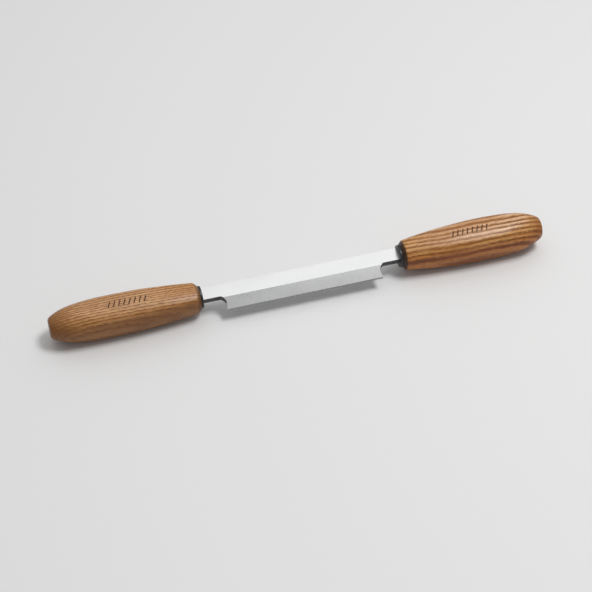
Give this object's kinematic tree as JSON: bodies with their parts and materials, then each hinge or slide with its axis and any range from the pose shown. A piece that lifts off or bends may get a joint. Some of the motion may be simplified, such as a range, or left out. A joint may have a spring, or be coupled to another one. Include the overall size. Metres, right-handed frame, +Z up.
{
  "type": "drawknife",
  "caption": "Straight drawknife: a flat steel bar ground to a single bevel, between two in-line barrel-shaped ash handles with softly squared sides and dark steel bolsters.",
  "frame": {"origin": "on the surface the tool lies on, under the middle of the blade's length and the handles' axis", "axes": "+X along the tool towards the right handle, the cutting edge faces -Y, and +Z is up from the surface the tool lies on. The tool leans 8 degrees towards its edge about X, as it does when it lies free."},
  "size_m": [0.3484, 0.027, 0.0276],
  "materials": {
    "blade_steel": "fine ground, satin",
    "bolster_steel": "blackened",
    "epoxy": "cured, slightly amber",
    "ash_left": "oiled ash, fine straight grain",
    "ash_right": "oiled ash, bold grain"
  },
  "bodies": {
    "root": {"blade": "blade_steel", "left_bolster": "bolster_steel", "right_bolster": "bolster_steel", "left_bond": "epoxy", "right_bond": "epoxy", "left_handle": "ash_left", "right_handle": "ash_right"}
  },
  "joints": []
}
